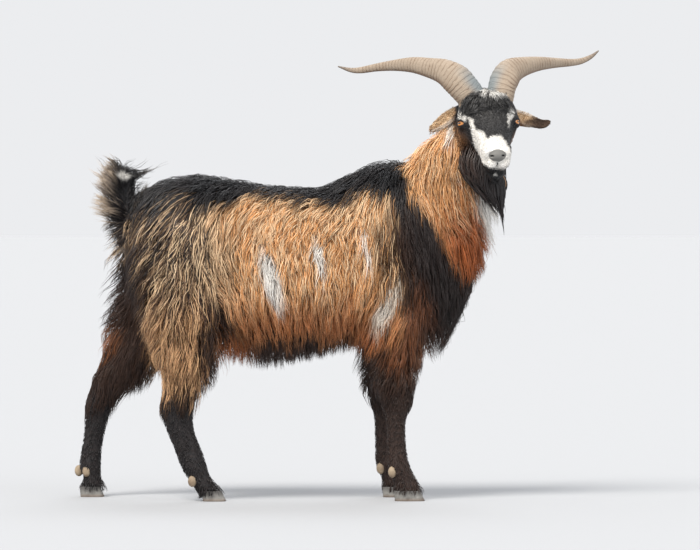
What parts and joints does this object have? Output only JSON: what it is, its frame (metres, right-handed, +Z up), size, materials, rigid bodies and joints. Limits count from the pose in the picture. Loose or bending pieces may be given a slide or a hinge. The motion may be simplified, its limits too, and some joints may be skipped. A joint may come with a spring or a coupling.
{
  "type": "goat",
  "caption": "Life-size long-haired billy goat standing side-on with its head turned to its right, with long swept horns, a beard and a raised tail, as a still model.",
  "frame": {"origin": "bottom centre of the model's box, on the floor between the feet", "axes": "+X towards the goat's chest and head, along the body; +Y to the goat's left; +Z up"},
  "size_m": [1.2941, 0.4364, 1.0995],
  "materials": {
    "coat": "long wavy hair, tan and rust on the flanks, black on the back and belly",
    "dark_coat": "black-brown hair, short on the legs, long on the tail and beard",
    "face": "short black hair with white marks on the brow, nose and muzzle",
    "ear": "short grey-tan hair with white rims and a dark brown inside",
    "horn": "dull beige keratin with growth rings and dark grooves",
    "hoof": "dull grey-beige horn with fine growth lines",
    "eye": "wet amber iris with a dark level pupil",
    "nose": "damp grey-brown bare skin"
  },
  "bodies": {
    "root": {"trunk": "coat", "neck": "coat", "tail": "dark_coat", "head": "face", "nose_pad": "nose", "beard": "dark_coat", "horn_right": "horn", "horn_left": "horn", "ear_right": "ear", "ear_left": "ear", "eye_right": "eye", "eye_left": "eye", "upper_leg_hind_right": "coat", "upper_leg_hind_left": "coat", "upper_leg_fore_right": "coat", "upper_leg_fore_left": "coat", "lower_leg_hind_right": "dark_coat", "lower_leg_hind_left": "dark_coat", "lower_leg_fore_right": "dark_coat", "lower_leg_fore_left": "dark_coat", "claw_hind_right_inner": "hoof", "claw_hind_right_outer": "hoof", "claw_hind_left_inner": "hoof", "claw_hind_left_outer": "hoof", "claw_fore_right_inner": "hoof", "claw_fore_right_outer": "hoof", "claw_fore_left_inner": "hoof", "claw_fore_left_outer": "hoof", "dewclaw_hind_right_inner": "hoof", "dewclaw_hind_right_outer": "hoof", "dewclaw_hind_left_inner": "hoof", "dewclaw_hind_left_outer": "hoof", "dewclaw_fore_right_inner": "hoof", "dewclaw_fore_right_outer": "hoof", "dewclaw_fore_left_inner": "hoof", "dewclaw_fore_left_outer": "hoof"}
  },
  "joints": []
}
